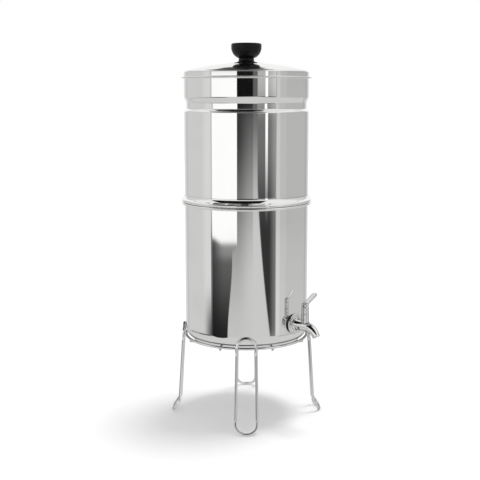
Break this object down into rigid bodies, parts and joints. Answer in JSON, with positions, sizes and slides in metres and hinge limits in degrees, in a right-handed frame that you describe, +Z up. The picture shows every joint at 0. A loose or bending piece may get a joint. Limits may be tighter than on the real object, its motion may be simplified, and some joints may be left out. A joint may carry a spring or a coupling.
{
  "type": "gravity water filter",
  "caption": "Stacked polished steel chambers with a lid, candle filters and a lever tap, on a bent-wire stand; gravity water filter and dispenser.",
  "frame": {"origin": "centre of the stand's footprint, on the surface that the feet stand on, under the vessels' common axis", "axes": "+Z up along the vessels' axis; -Y is the front that faces the picture, +X its right; the tap points between -Y and +X"},
  "size_m": [0.2756, 0.2756, 0.6698],
  "materials": {
    "polished_steel": "mirror-polished stainless sheet",
    "tap_steel": "polished stainless steel",
    "stand_wire": "bright polished wire",
    "seal_rubber": "matt",
    "candle_ceramic": "matt, fine-pored",
    "white_plastic": "moulded, satin",
    "knob_plastic": "turned black plastic, satin gloss"
  },
  "bodies": {
    "stand": {"stand_ring": "stand_wire", "cross_wires_long": "stand_wire", "cross_wires_wide": "stand_wire", "leg_front": "stand_wire", "leg_right": "stand_wire", "leg_back": "stand_wire", "leg_left": "stand_wire"},
    "lower": {"lower_chamber": "polished_steel", "tap_body": "tap_steel", "tap_flange": "tap_steel", "tap_outer_washer": "seal_rubber", "tap_inner_washer": "seal_rubber", "tap_nut": "tap_steel", "tap_bonnet": "tap_steel"},
    "handle": {"tap_plug": "tap_steel", "tap_plug_seals": "seal_rubber", "tap_handle": "tap_steel", "tap_handle_screw": "tap_steel"},
    "upper": {"upper_chamber": "polished_steel", "filter_candles": "candle_ceramic", "filter_caps": "white_plastic", "filter_stems": "white_plastic", "filter_washers": "seal_rubber", "filter_wing_nuts": "white_plastic", "blanking_plugs": "white_plastic", "blanking_washers": "seal_rubber", "blanking_nuts": "white_plastic"},
    "lid": {"lid_shell": "polished_steel", "lid_skirt": "polished_steel", "knob": "knob_plastic", "knob_washer": "tap_steel", "knob_screw": "tap_steel"}
  },
  "joints": [
    {"name": "lower_lift", "type": "slide", "parent": "stand", "child": "lower", "axis": [0, 0, 1], "range_m": [0, 0.06]},
    {"name": "handle_turn", "type": "hinge", "parent": "lower", "child": "handle", "pos_m": [0.10166, -0.09154, 0.2], "axis": [0, 0, 1], "range_deg": [-90, 0]},
    {"name": "upper_lift", "type": "slide", "parent": "lower", "child": "upper", "axis": [0, 0, 1], "range_m": [0, 0.12]},
    {"name": "lid_lift", "type": "slide", "parent": "upper", "child": "lid", "axis": [0, 0, 1], "range_m": [0, 0.12]}
  ]
}
